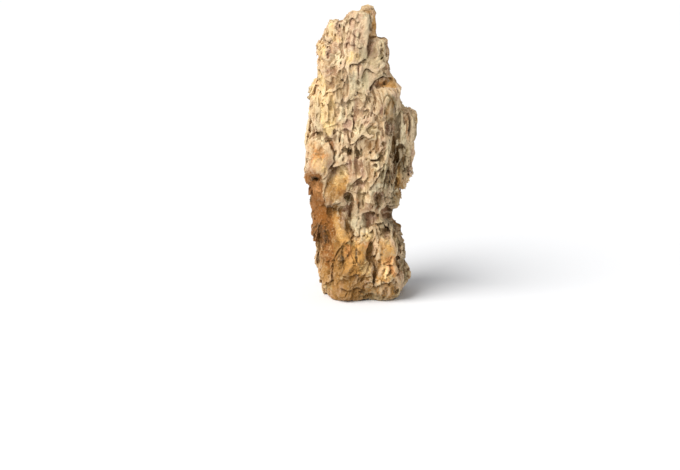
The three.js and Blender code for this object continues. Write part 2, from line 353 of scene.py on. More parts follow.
# %% The scales, scallops and flutes
def natural_relief(x, y, z, d, plain):
    """Millimetres of relief, and the tone and the tint of the scale, both from 0 to 1."""
    z = z + HANG * d
    upper = smooth_step(90, 190, z)  # the waist and all above it
    calm = 1 - 0.26 * smooth_step(220, 300, z)  # shallower above the shoulder
    crown = smooth_step(310, 350, z)  # the top, where only the fine marks are deep
    bend = [7 * soft_noise(x / 30, y / 30, z / 44, s) + 1.6 * soft_noise(x / 8, y / 8, z / 14, s + 1)
            for s in (11, 21, 31)]
    bx, by, bz = x + bend[0], y + bend[1], z + 1.3 * bend[2]
    tight = bz - PACKED * (1 - np.tanh(bz / PACKED))
    rough = smooth_step(-0.45, 0.2, soft_noise(x / 52, y / 52, z / 60, 5) + 0.2) * (1 - plain)
    rough = rough * (0.55 + 0.45 * upper)
    plain = np.maximum(plain, 0.25 * (1 - upper))

    def spot(size, height):
        """The bent places, counted in marks of this size."""
        return bx / size[0], by / size[0], height / size[1]

    def scaly(kind, height, seed):
        """The relief of one kind of scale, the gap to the next scale, and the number that each one has."""
        own, lean, turn = kind[2:]
        gap, rise, aside, share = cells(*spot(kind, height), seed)
        return own * (share - 0.5) - lean * rise + turn * aside, gap, share

    large, _, _ = scaly(MASSES, bz, 41)
    medium, _, tone = scaly(SCALES, tight, 42)
    small, _, _ = scaly(SMALL_SCALES, tight, 43)
    slabs, gap, _ = scaly(SLABS, bz, 44)
    slabs = (slabs - 0.5 * np.exp(-gap / 0.14)) * (1 - upper)  # with a crack between two slabs

    flutes = (0.7 + upper) * ridges(*spot(FLUTES, bz), 51)
    crinkle = CRINKLE_DEPTH * ridges(*spot(CRINKLES, tight), 52)
    fibre = FIBRE_DEPTH * upper * ridges(*spot(FIBRES, bz), 54)
    grit = 0.4 * soft_noise(x / 2.2, y / 2.2, z / 2.8, 62)
    fine = WRINKLE_DEPTH * ridges(*spot(WRINKLES, tight), 53) + grit + fibre
    hole = smooth_step(0.48, 0.72, soft_noise(*spot(PITS, bz), 71))
    pits = -PIT_DEPTH * hole * (0.15 + 0.85 * rough)

    # Plain skin loses its flutes and crinkles first. Rough skin has deeper scales and pits.
    relief = large * (1 - 0.5 * plain) * (0.5 + 0.5 * upper) + slabs * (1 - 0.85 * plain)
    relief += medium * (0.28 + 0.72 * rough) * (1 - 0.4 * plain) + flutes * (1 - 0.8 * plain)
    relief = (relief + pits) * (1 - 0.45 * crown)
    relief += (small * (0.2 + 0.8 * rough) * (1 - 0.5 * plain)
               + crinkle * (0.3 + 0.7 * rough) * (1 - 0.8 * plain))
    relief += fine * (0.5 + 0.5 * rough) * (1 - 0.7 * plain) * (1 + 0.7 * crown)
    return relief * calm, tone, (7 * tone) % 1


heights = np.array([50, 200, 350], np.float32)
middle = np.zeros_like(heights)
print("relief at three heights", natural_relief(middle, middle, heights, middle, middle)[0].round(1), "mm")


# %% [markdown]
# ## The marks of this one stone
#
# Patterns alone make a stone of the right kind, but not this stone. Its own ledges, ribs, lumps and hollows
# on the front are placed one by one, from the top down, in millimetres across and up from the middle of the
# foot. A ledge is a step with a crack under it, a rib is a thin fold of harder clay between two grooves,
# and a lump or hollow is an oval that stands out or goes in. Sculpt Mode could do this too, but a list can
# be read, changed and run again.

# %% Ledges
# How far the rock stands out, and the ledge's course. The rock on the left of the course is the part that
# stands out, so a course that runs to the right has it above, and one that runs up has it on the left. A
# number less than zero turns that round, and the rock on the right stands out.
LEDGES = {
    "crown_seam": (2.0, [(12, 369), (8, 376), (12, 384), (8, 393)]),
    "crest_scale_high": (1.4, [(-13, 388), (-8, 382), (-3, 385)]),
    "crest_scale": (1.6, [(-17, 373), (-12, 366), (-6, 364), (-1, 369)]),
    "crest_side": (2.2, [(4, 334), (8, 342), (4, 350), (10, 358), (7, 364), (12, 369)]),
    "crown_foot": (1.6, [(8, 365), (13, 363), (19, 365)]),
    "crest_scale_low": (1.5, [(-21, 358), (-15, 352), (-9, 354), (-3, 349), (3, 352)]),
    "left_arch": (3.4, [(-19, 319), (-18, 327), (-14, 330), (-7, 329), (-3, 331), (2, 335), (8, 336)]),
    "rib_side": (2.2, [(-6, 307), (-7, 319), (-7, 327)]),
    "right_arch": (3.6, [(-2, 304), (-1, 313), (2, 320), (6, 323), (12, 320), (17, 317), (22, 316)]),
    "rib_gap": (-1.2, [(-19, 303), (-20, 312), (-20, 321)]),
    "shoulder_notch": (2.0, [(-62, 318), (-57, 318), (-54, 315), (-52, 309)]),
    "eye_corner": (2.0, [(30, 318), (38, 311), (44, 304)]),
    "eye_brow": (3.8, [(10, 287), (10, 295), (13, 303), (19, 309), (27, 312), (36, 310), (44, 303)]),
    "under_eye": (2.2, [(45, 256), (43, 272), (39, 284), (33, 287), (29, 279), (28, 262), (29, 238)]),
    "neck_dash": (1.6, [(-25, 278), (-21, 277), (-16, 279)]),
    "fin_groove": (-2.8, [(50, 228), (53, 242), (54, 256), (52, 266)]),
    "fin_rib": (3.2, [(63, 226), (65, 240), (64, 252), (60, 262)]),
    "mauve_side": (2.8, [(-13, 239), (-12, 250), (-14, 261)]),
    "yellow_dash": (1.4, [(-51, 253), (-48, 254), (-44, 257)]),
    "mauve_foot": (1.4, [(-27, 245), (-20, 241), (-13, 239)]),
    "temple_lip": (1.8, [(-37, 241), (-30, 238), (-23, 236)]),
    "cheek_top": (1.6, [(-70, 231), (-64, 234), (-60, 237), (-52, 236)]),
    "brow": (3.6, [(-20, 224), (-15, 222), (-11, 225), (-7, 230), (-2, 233), (3, 235), (8, 230)]),
    "cheek_side": (3.8, [(-46, 186), (-39, 196), (-38, 208), (-41, 218), (-46, 225)]),
    "nostril": (2.6, [(9, 207), (12, 202), (17, 200), (22, 203), (25, 208)]),
    "fin_shelf": (2.4, [(56, 201), (62, 199), (68, 200), (74, 205)]),
    "slab_top": (1.8, [(-40, 187), (-33, 192), (-26, 193), (-20, 197), (-14, 196)]),
    "knob_dash": (1.8, [(20, 187), (25, 192), (30, 194)]),
    "grey_slab_right": (3.4, [(27, 158), (32, 177), (37, 194)]),
    "right_dash": (1.6, [(30, 186), (33, 190), (37, 193)]),
    "grey_slab_left": (2.6, [(10, 162), (16, 170), (21, 179), (26, 190)]),
    "slab_left": (1.8, [(-54, 172), (-50, 179), (-46, 183), (-41, 184)]),
    "breast_crack": (3.0, [(-17, 163), (-11, 168), (-6, 171), (-3, 175), (-1, 182)]),
    "cheek_foot": (3.2, [(-70, 171), (-64, 174), (-58, 173)]),
    "breast_line": (1.2, [(-18, 160), (-10, 155), (-3, 153), (10, 152)]),
    "hook_lip": (3.0, [(37, 157), (42, 153), (49, 155)]),
    "slab_foot": (3.0, [(-44, 142), (-39, 139), (-33, 139), (-28, 144), (-24, 150), (-23, 156)]),
    "waist_hook": (1.8, [(32, 152), (36, 146), (40, 143), (45, 145)]),
    "lower_rib": (1.4, [(-5, 122), (-5, 132), (-5, 142)]),
    "waist_lip": (3.6, [(23, 134), (32, 132), (39, 132), (46, 134)]),
    "belly_roof": (3.4, [(-1, 115), (2, 124), (9, 128), (17, 126), (20, 118)]),
    "block_side": (-1.4, [(-11, 96), (-15, 106), (-14, 118), (-12, 126)]),
    "hip_side": (1.6, [(-15, 86), (-20, 96), (-23, 108), (-22, 122)]),
    "shelf_rim": (-2.6, [(38, 86), (41, 97), (37, 102), (30, 108), (23, 110), (16, 108)]),
    "knob_ring": (2.0, [(12, 96), (9, 103), (2, 104), (-3, 100), (-2, 93)]),
    "block_foot": (2.2, [(-14, 97), (-8, 94), (-2, 96)]),
    "low_crack": (2.4, [(-25, 80), (-21, 86), (-17, 91), (-11, 94)]),
    "heel_top": (-1.4, [(23, 90), (30, 94), (40, 94), (47, 88)]),
    "apron_left": (-1.2, [(-24, 92), (-28, 76), (-27, 60), (-24, 46)]),
    "apron_side": (3.6, [(10, 58), (6, 64), (6, 75), (9, 83), (13, 88)]),
    "apron_middle": (1.0, [(-5, 86), (-9, 74), (-6, 62), (-9, 50)]),
    "heel_left": (-1.4, [(15, 28), (19, 42), (21, 56), (19, 70), (22, 84)]),
    "heel_side": (2.6, [(53, 40), (49, 52), (47, 63), (51, 71), (49, 83)]),
    "heel_rib": (1.4, [(36, 40), (40, 52), (35, 62), (38, 74)]),
    "heel_crack": (2.0, [(15, 24), (17, 38), (20, 44), (17, 50), (15, 61)]),
    "apron_step": (1.8, [(-30, 44), (-18, 38), (-6, 42), (8, 36)]),
    "foot_step": (2.0, [(20, 22), (27, 29), (38, 28), (47, 38)]),
    "foot_step_left": (2.0, [(-30, 22), (-18, 18), (-6, 22), (6, 18)]),
}
print(len(LEDGES), "ledges")

# %% Ribs
# How far the rib stands out, half its width, and its course.
RIBS = {
    "pale_strip": (1.6, 3.6, [(3, 394), (6, 384), (7, 374), (5, 362), (3, 354)]),
    "crest_fold": (1.4, 1.8, [(-14, 342), (-16, 354), (-13, 366), (-15, 380)]),
    "crest_fold_right": (1.2, 1.6, [(-7, 346), (-8, 360), (-6, 376)]),
    "crest_fold_left": (1.4, 1.8, [(-23, 338), (-25, 350), (-22, 362)]),
    "shoulder_fold": (1.8, 1.8, [(30, 334), (29, 348), (30, 360)]),
    "shoulder_fold_left": (1.2, 1.8, [(19, 332), (21, 344), (19, 356)]),
    "spur_fold": (2.0, 2.8, [(37, 282), (37, 268), (36, 252)]),
    "neck_fold": (1.6, 2.0, [(-29, 273), (-27, 263), (-29, 254)]),
    "fin_fold_inner": (2.6, 2.0, [(56, 220), (54, 234), (53, 248), (54, 264)]),
    "fin_fold_outer": (3.0, 2.2, [(69, 216), (71, 230), (70, 244), (67, 260)]),
    "chip_top_left": (1.6, 1.5, [(-32, 221), (-33, 232), (-31, 243)]),
    "chip_top": (1.6, 1.5, [(-26, 220), (-26, 231), (-24, 242)]),
    "chip_top_right": (1.4, 1.5, [(-20, 222), (-20, 231), (-18, 240)]),
    "pale_ridge": (2.4, 2.6, [(36, 230), (36, 214), (31, 202), (26, 191)]),
    "chip_left": (1.8, 1.6, [(-40, 196), (-35, 205), (-29, 213)]),
    "chip_middle": (1.8, 1.6, [(-35, 193), (-29, 202), (-22, 211)]),
    "fin_fold_low": (2.2, 2.0, [(62, 206), (64, 192), (60, 178)]),
    "chip_right": (1.6, 1.6, [(-29, 192), (-23, 200), (-18, 205)]),
    "knob_ring": (2.8, 1.5, [(15, 189), (13, 194), (15, 198), (19, 199), (23, 196), (22, 191), (18, 189),
        (15, 189)]),
    "slab_fold": (2.0, 1.8, [(40, 190), (36, 176), (32, 162)]),
    "slab_fold_right": (2.0, 1.8, [(50, 186), (47, 174), (42, 163)]),
    "throat_fold": (2.2, 2.0, [(-9, 153), (-8, 140), (-11, 127)]),
    "throat_fold_right": (1.8, 2.0, [(-1, 152), (-2, 140), (1, 130)]),
    "waist_fold": (2.6, 2.0, [(29, 146), (27, 131), (23, 122), (30, 112), (40, 107), (43, 101), (39, 93),
        (38, 86)]),
    "knob_fold": (1.8, 1.8, [(-4, 92), (2, 98), (4, 106)]),
    "knob_fold_right": (1.8, 1.8, [(14, 92), (9, 98), (12, 105)]),
    "heel_fold": (1.8, 2.2, [(22, 62), (25, 74), (23, 86)]),
    "heel_rim": (1.6, 1.6, [(62, 26), (66, 44), (65, 62), (60, 78)]),
    "heel_fold_right": (1.3, 2.0, [(46, 68), (42, 58), (47, 48), (44, 38)]),
    "heel_fold_left": (1.4, 1.8, [(24, 62), (29, 52), (25, 42), (28, 34)]),
    "heel_fold_low": (1.4, 2.0, [(35, 32), (32, 42), (37, 50), (34, 60)]),
    "foot_fold_right": (1.8, 2.0, [(50, 4), (54, 20), (51, 38)]),
    "foot_fold_left": (1.6, 2.4, [(23, 4), (29, 14), (27, 28)]),
    "foot_fold": (1.4, 2.0, [(36, 5), (40, 15), (35, 24)]),
}
print(len(RIBS), "ribs")

# %% Lumps and hollows
# Where the middle is, half its width and height, how far its top leans right in degrees, how far it
# stands out (less than zero for a hollow), and how plain its skin is.
LUMPS = {
    "crown_lobe": (17, 382, 6, 17, 0, 1.8, 0.7),
    "top_pit_a": (-34, 381, 2.4, 2.0, 0, -1.6, 0),
    "pale_strip": (5, 376, 4.5, 18, 0, 0.6, 0.3),
    "top_pit_b": (-36, 374, 2.4, 2.4, 0, -1.4, 0),
    "top_pit_c": (-47, 367, 2.4, 3.5, 0, -2.2, 0),
    "top_pit_d": (-55, 356, 2.6, 3, 0, -2.2, 0),
    "top_pit_e": (-41, 356, 3, 3.5, 0, -2.4, 0),
    "top_pit_f": (-23, 350, 2.4, 6, -10, -1.8, 0),
    "shoulder_patch": (14, 343, 7, 12, 0, 1.2, 0.3),
    "arch_fill": (8, 309, 9, 12, 0, 1.4, 0.5),
    "left_rib": (-13, 306, 4.5, 22, 4, 2.2, 0.5),
    "eye_floor": (34, 303, 11, 6, -10, 1.4, 0.7),
    "eye": (21, 300, 8, 6.5, 50, 5.0, 0.5),
    "under_eye_rib": (37, 264, 6, 20, 0, 1.4, 0.4),
    "mauve_block": (-19, 249, 8, 8, 20, -0.4, 0.9),
    "neck_valley": (37, 243, 5, 12, -10, -2.4, 0),
    "cheek_hole": (-46, 227, 4.5, 3.2, 0, -5.5, 0),
    "fin_pit": (56, 214, 4, 4, 10, -2.4, 0),
    "pale_ridge": (35, 212, 4.5, 20, 8, 1.4, 0.4),
    "fin_knob": (68, 209, 6, 5, 0, 1.8, 0.4),
    "middle_slab": (-3, 208, 8, 9, 0, 2.0, 0.2),
    "dark_spot": (-17, 208, 4.5, 2.6, -50, -4.0, 0),
    "nostril_lip": (17, 207, 5, 2.6, 0, 2.2, 0.8),
    "nostril": (18, 202, 4.5, 1.6, 0, -3.4, 0),
    "fin_valley": (47, 202, 5.5, 20, -2, -3.2, 0),
    "cheek": (-57, 200, 17, 28, 0, 1.0, 0.75),
    "knob_ground": (18, 194, 8, 8, 0, 0.8, 1.0),
    "knob_middle": (18, 194, 1.8, 1.8, 0, -2.0, 0),
    "fin_pit_low": (60, 192, 3, 6, 0, -2.6, 0),
    "under_cheek": (-40, 183, 6, 7, 20, -3.0, 0),
    "slab_pit_left": (33, 178, 2.2, 9, 12, -2.2, 0),
    "left_slot": (-63, 174, 3.5, 2.5, 15, -3.0, 0),
    "slab_pit": (43, 172, 2.6, 9, 10, -2.4, 0),
    "grey_slab": (21, 164, 6, 15, 24, 0.8, 0.7),
    "ochre_slab": (-35, 162, 17, 24, 12, 1.4, 0.9),
    "throat": (-19, 148, 5.5, 6, -30, -3.6, 0),
    "groin": (25, 143, 4.5, 16, 0, -2.8, 0.5),
    "rust_slab": (-62, 138, 16, 40, 0, -0.4, 1.0),
    "throat_slit": (-15, 131, 2.2, 11, 4, -2.2, 0),
    "waist": (37, 122, 7, 12, 0, -2.2, 0.6),
    "belly_hollow": (10, 116, 9.5, 10, -12, -3.4, 0.5),
    "pale_belly": (-7, 111, 9, 16, 0, 2.2, 0.7),
    "gold_ridge": (-34, 108, 12, 26, -14, 1.0, 0.8),
    "fold_hole": (34, 97, 3.4, 6, 0, -3.2, 0),
    "low_knob": (5, 96, 8, 8, 0, 1.6, 0.4),
    "heel_crown": (34, 78, 12, 10, 0, 1.4, 0.7),
    "apron_hollow": (12, 73, 4.5, 15, 2, -2.2, 0.8),
    "apron": (-12, 66, 22, 32, 0, 1.2, 0.6),
    "heel_valley": (53, 56, 2.6, 20, 0, -1.8, 0),
    "heel": (35, 50, 14, 26, 0, 1.4, 0),
    "heel_crack": (17, 36, 2.2, 14, 0, -2.6, 0),
    "apron_foot": (-16, 26, 24, 12, 0, -1.2, 0.5),
}
print(len(LUMPS), "lumps and hollows")


# %% Distance to a course
def smoothed(course, rounds=2):
    """A course with its corners cut, so that a ledge bends like rock."""
    course = np.array(course, float)
    for _ in range(rounds):
        a, b = course[:-1], course[1:]
        cut = np.stack([0.75 * a + 0.25 * b, 0.25 * a + 0.75 * b], 1).reshape(-1, 2)
        course = np.concatenate([course[:1], cut, course[-1:]])
    return course


def beside(x, z, course):
    """How far each place is from a course, how far to the left of it, and the share of it gone by."""
    course = smoothed(course)
    lengths = np.hypot(*np.diff(course, axis=0).T)
    start = np.concatenate([[0], np.cumsum(lengths)])
    closest = np.full(x.shape, 1e6, np.float32)
    side = np.zeros_like(closest)
    along = np.zeros_like(closest)
    for n, length in enumerate(lengths):
        ax, az = course[n]
        ux, uz = (course[n + 1] - course[n]) / length
        t = np.clip((x - ax) * ux + (z - az) * uz, 0, length)
        gap = np.hypot(x - ax - t * ux, z - az - t * uz)
        closer = gap < closest
        closest = np.where(closer, gap, closest)
        side = np.where(closer, ux * (z - az) - uz * (x - ax), side)
        along = np.where(closer, (start[n] + t) / start[-1], along)
    return closest, side, along


across = np.linspace(-6, 6, 7, dtype=np.float32)
level_course = [(-20, 0), (20, 0)]
print("distances across a course", beside(np.zeros_like(across), across, level_course)[0].round(1))


# %% One ledge, one rib
LEDGE_REACH = 13.0  # mm over which the standing side fades
CRACK_WIDTH = 1.5  # mm
LEDGE_SHADOW_WIDTH = 1.1  # mm of painted shadow in the crack, on the side under the ledge


def ledge_relief(x, z, course, stand):
    """The relief of one ledge, and how much painted shadow its crack gets under the ledge."""
    closest, side, along = beside(x, z, course)
    taper = smooth_step(0, 0.2, along) * smooth_step(1, 0.8, along)
    stands = stand * smooth_step(2.1, 0, closest / LEDGE_REACH) ** 1.5
    dips = -0.8 * stand * np.exp(-closest / (0.5 * LEDGE_REACH))
    crack = -0.9 * abs(stand) * np.exp(-(closest / CRACK_WIDTH) ** 2)
    edge = 0.5 + 0.5 * np.tanh(side / 0.7)
    below = 1 - edge if stand > 0 else edge
    # A painted shadow in the crack, on the side under the ledge.
    ledge_shadow = taper * min(1, abs(stand) / 3) * below * np.exp(-(closest / LEDGE_SHADOW_WIDTH) ** 2)
    return taper * (dips + (stands - dips) * edge + crack * below), ledge_shadow


def rib_relief(x, z, course, stand, half_width):
    """The relief of one rib, with a shallow groove along each side, and where its top is."""
    closest, _, along = beside(x, z, course)
    taper = smooth_step(0, 0.25, along) * smooth_step(1, 0.75, along)
    gap = closest / half_width
    top = taper * np.exp(-gap ** 2)
    return stand * (top - 0.4 * taper * np.exp(-((gap - 2.2) / 0.8) ** 2)), top


print("across a ledge", ledge_relief(np.zeros_like(across), across, level_course, 3.0)[0].round(1), "mm")
print("across a rib", rib_relief(np.zeros_like(across), across, level_course, 2.0, 2.0)[0].round(1), "mm")


# %% All the marks
def within(x, z, course, reach, front):
    """Which places on the front lie in the course's box, grown by a reach."""
    low_x, low_z = np.min(course, 0) - reach
    high_x, high_z = np.max(course, 0) + reach
    return np.nonzero((x > low_x) & (x < high_x) & (z > low_z) & (z < high_z) & (front > 0))[0]


def in_oval(x, z, at_x, at_z, half_x, half_z, lean):
    """How far each place is across and up a leaning oval: 1 at its edges."""
    tilt = np.radians(lean)
    across = ((x - at_x) * np.cos(tilt) - (z - at_z) * np.sin(tilt)) / half_x
    up = ((x - at_x) * np.sin(tilt) + (z - at_z) * np.cos(tilt)) / half_z
    return across, up


def placed_relief(x, y, z, d, front):
    """The relief of all the marks, how plain the skin is, and where the painted ledge shadows and rib tops
    are.
    """
    z = z + HANG * d
    coarse, fine = (x / 7, y / 7, z / 9), (x / 3.2, y / 3.2, z / 4)
    wx = x + 1.4 * soft_noise(*coarse, 81) + 0.7 * soft_noise(*fine, 82)
    wz = z + 1.8 * soft_noise(*coarse, 83) + 0.8 * soft_noise(*fine, 84)
    relief, plain, ledge_shadows, tops = (np.zeros_like(x) for _ in range(4))
    for stand, course in LEDGES.values():
        near = within(wx, wz, course, 2.2 * LEDGE_REACH, front)
        lift, ledge_shadow = ledge_relief(wx[near], wz[near], course, stand)
        relief[near] += lift
        ledge_shadows[near] = np.maximum(ledge_shadows[near], ledge_shadow)
    for stand, half_width, course in RIBS.values():
        near = within(wx, wz, course, 4.5 * half_width, front)
        lift, top = rib_relief(wx[near], wz[near], course, stand, half_width)
        relief[near] += lift
        tops[near] = np.maximum(tops[near], top)
    for *oval, stand, plainness in LUMPS.values():
        across, up = in_oval(wx, wz, *oval)
        share = np.exp(-0.7 * (across ** 2 + up ** 2) ** 1.6)
        relief += stand * share
        plain = np.maximum(plain, plainness * share)
    return relief * front, plain * front, ledge_shadows * front, tops * front


# %% [markdown]
# ## Carving it
#
# The marks and the patterns are added up, and the sum is taken off the distance that each cube holds.
# That moves the skin. On the sides, which are seen edge-on from the front, the relief is made stronger, so
# that the outline is as ragged as the rest. Whatever would stand out too far is pressed back. A few pieces
# are broken off the outline too. A Boolean modifier could cut them, but in a volume a cut is only the
# larger of two distances, and it never leaves a torn mesh.

# %% All the relief
SIDE_GAIN = 0.55  # how much stronger the pattern is on the sides
PROUD = 2.5  # mm; what stands out more than this is pressed back
SIDE_PROUD = 1.5  # mm more before that starts on the sides
PRESSED = 2.5  # mm that it can still gain once it is pressed back

slopes = np.gradient(skin, VOXEL)
steep = np.sqrt(sum(s.ravel()[shell] ** 2 for s in slopes)) + 1e-6
facing = -slopes[1].ravel()[shell] / steep
del slopes
front = smooth_step(0.05, 0.5, facing).astype(np.float32)
placed, plainness, ledge_shadows, tops = in_pieces(placed_relief, px, py, pz, depth, front)
natural, scale_tone, scale_tint = in_pieces(natural_relief, px, py, pz, depth, plainness)
sideways = 1 - smooth_step(0.1, 0.6, np.abs(facing))
relief = natural * (1 + SIDE_GAIN * sideways) + placed
proud = PROUD + SIDE_PROUD * sideways
relief = np.where(relief > proud, proud + PRESSED * np.tanh((relief - proud) / PRESSED), relief)
print("relief from", relief.min().round(1), "to", relief.max().round(1), "mm")

# %% Pieces broken off the outline
# The middle and half the size of each, in mm.
BREAKS = {
    "crest_top": (-9, 0, 403, 9, 40, 7),
    "knob_top": (-34, 0, 395, 11, 40, 10),
    "crest_dip": (-29, 0, 391, 4, 40, 8),
    "lobe_side": (27, 0, 381, 9, 40, 21),
    "shoulder": (-69, 0, 317, 9, 40, 11),
    "spur_top": (62, 0, 312, 14, 40, 10),
    "under_spur": (60, -10, 284, 8.5, 30, 12),
    "cheek_side": (-87, 0, 203, 10, 60, 22),
    "waist": (55, -10, 112, 12, 50, 14),
}


def broken_off(x, y, z):
    """The distance, less than zero inside, to the nearest of the broken-off pieces."""
    x = x + 1.6 * soft_noise(x / 7, y / 7, z / 9, 91)
    z = z + 1.8 * soft_noise(x / 7, y / 7, z / 9, 92)
    nearest = np.full_like(x, 99)
    for at_x, at_y, at_z, half_x, half_y, half_z in BREAKS.values():
        size = ((np.abs(x - at_x) / half_x) ** 4 + (np.abs(y - at_y) / half_y) ** 4
                + (np.abs(z - at_z) / half_z) ** 4) ** 0.25
        nearest = np.minimum(nearest, (size - 1) * min(half_x, half_z))
    return (nearest,)


print(len(BREAKS), "pieces to break off")


# %% Carving it into the volume
OUTWARD_TRIM = 2.0  # mm, so that the highest scales stay inside the solid's box
FOOT_CALM = 9.0  # mm over which the relief grows from little at the foot

above_foot = 0.25 + 0.75 * smooth_step(0, FOOT_CALM, pz)
carved = skin.copy()
breaks = in_pieces(broken_off, px, py, pz)[0]
carved.ravel()[shell] = np.maximum(depth - above_foot * (relief - OUTWARD_TRIM), -breaks)
height = ((np.arange(skin.shape[2]) + first[2]) * VOXEL).astype(np.float32)
carved = np.maximum(carved, -height)  # the foot is broken off flat
litres = [round(float((v < 0).sum()) * (VOXEL / 100) ** 3, 2) for v in (skin, carved)]
print("litres of rock before and after carving", litres)

# %% [markdown]
# ## Back to a mesh
#
# OpenVDB lays a net of four-sided faces where the distance is zero. Deep undercuts leave small closed nets
# of their own, beside the stone or inside it, so only the largest is kept. The net is as dense on plain
# skin as on scales. The Decimate modifier takes faces away where they show least, which leaves them for
# the sharp edges. A Remesh modifier would space them evenly, and blunt those edges.

# %% The net of faces
grid = openvdb.FloatGrid(BAND)
grid.transform = to_mm
grid.copyFromArray(carved.astype(np.float32), ijk=tuple(int(n) for n in first))
points, _, quads = grid.convertToPolygons(isovalue=0.0, adaptivity=0.0)
print(len(points), "points,", len(quads), "quads")

stone_mesh = bpy.data.meshes.new("weathered_stone")
stone_mesh.from_pydata(points.astype(float) * MM, [], quads[:, ::-1].astype(int))
stone = bpy.data.objects.new("weathered_stone", stone_mesh)
scene.collection.objects.link(stone)

# %% Only the stone itself
work = bmesh.new()
work.from_mesh(stone_mesh)
found, islands = set(), []
for start in work.verts:
    if start.index in found:
        continue
    island, queue = [], [start]
    found.add(start.index)
    while queue:
        vertex = queue.pop()
        island.append(vertex)
        for edge in vertex.link_edges:
            other = edge.other_vert(vertex)
            if other.index not in found:
                found.add(other.index)
                queue.append(other)
    islands.append(island)
islands.sort(key=len)
bmesh.ops.delete(work, geom=[v for island in islands[:-1] for v in island], context="VERTS")
work.to_mesh(stone_mesh)
work.free()
print(len(islands), "islands,", len(stone_mesh.vertices), "points kept")

# %% Fewer triangles where the skin is plain
MOST_TRIANGLES = 188000
slim = stone.modifiers.new("slim", "DECIMATE")
slim.ratio = min(1.0, MOST_TRIANGLES / (2 * len(stone_mesh.polygons)))
slim.use_collapse_triangulate = True
bpy.context.view_layer.update()
slimmed = bpy.data.meshes.new_from_object(stone.evaluated_get(bpy.context.evaluated_depsgraph_get()))
stone.modifiers.clear()
stone.data = slimmed
stone_mesh = slimmed
stone_mesh.name = "weathered_stone"
print(len(stone_mesh.polygons), "triangles")

# %% [markdown]
# ## Where each mineral shows
#
# Iron and clay minerals stain the rock in patches: yellow and ochre where limonite sits, rust where it
# weathered, mauve and grey where the clay is bare. The patches on the front are placed one by one, the rest
# are left to noise. Each patch becomes a number on every vertex, which the material reads by name. That
# follows the carved skin into every undercut, which a flat picture laid over the stone would not.

# %% Reading a volume at the stone's own points
place = np.empty(len(stone_mesh.vertices) * 3, np.float32)
stone_mesh.vertices.foreach_get("co", place)
place = place.reshape(-1, 3) / MM
vx, vy, vz = place.T.copy()


def read_at_points(values):
    """The values of a volume at each vertex."""
    spot = place / VOXEL - first
    whole = np.clip(np.floor(spot).astype(int), 0, np.array(values.shape) - 2)
    part = spot - whole
    total = np.zeros(len(spot), np.float32)
    for n in range(8):
        step = np.array((n // 4, n // 2 % 2, n % 2))
        weight = np.prod(np.where(step, part, 1 - part), 1)
        total += weight * values[tuple((whole + step).T)]
    return total


# %% Crests, hollows and which way the skin faces
CREST_WIDTH = 1.9  # mm
HOLLOW_WIDTH = 6.0  # mm
FACING_SOFTNESS = 3.0  # mm

fine_bulge = read_at_points(soften(carved, CREST_WIDTH) - carved)
broad_bulge = read_at_points(soften(carved, HOLLOW_WIDTH) - carved)
slope = np.gradient(soften(skin, FACING_SOFTNESS), VOXEL)
steep = read_at_points(np.sqrt(slope[0] ** 2 + slope[1] ** 2 + slope[2] ** 2)) + 1e-6
face_front = -read_at_points(slope[1]) / steep
del slope
print("fine bulge", np.percentile(fine_bulge, (2, 25, 50, 75, 98)).round(2))
print("broad bulge", np.percentile(broad_bulge, (2, 25, 50, 75, 98)).round(2))

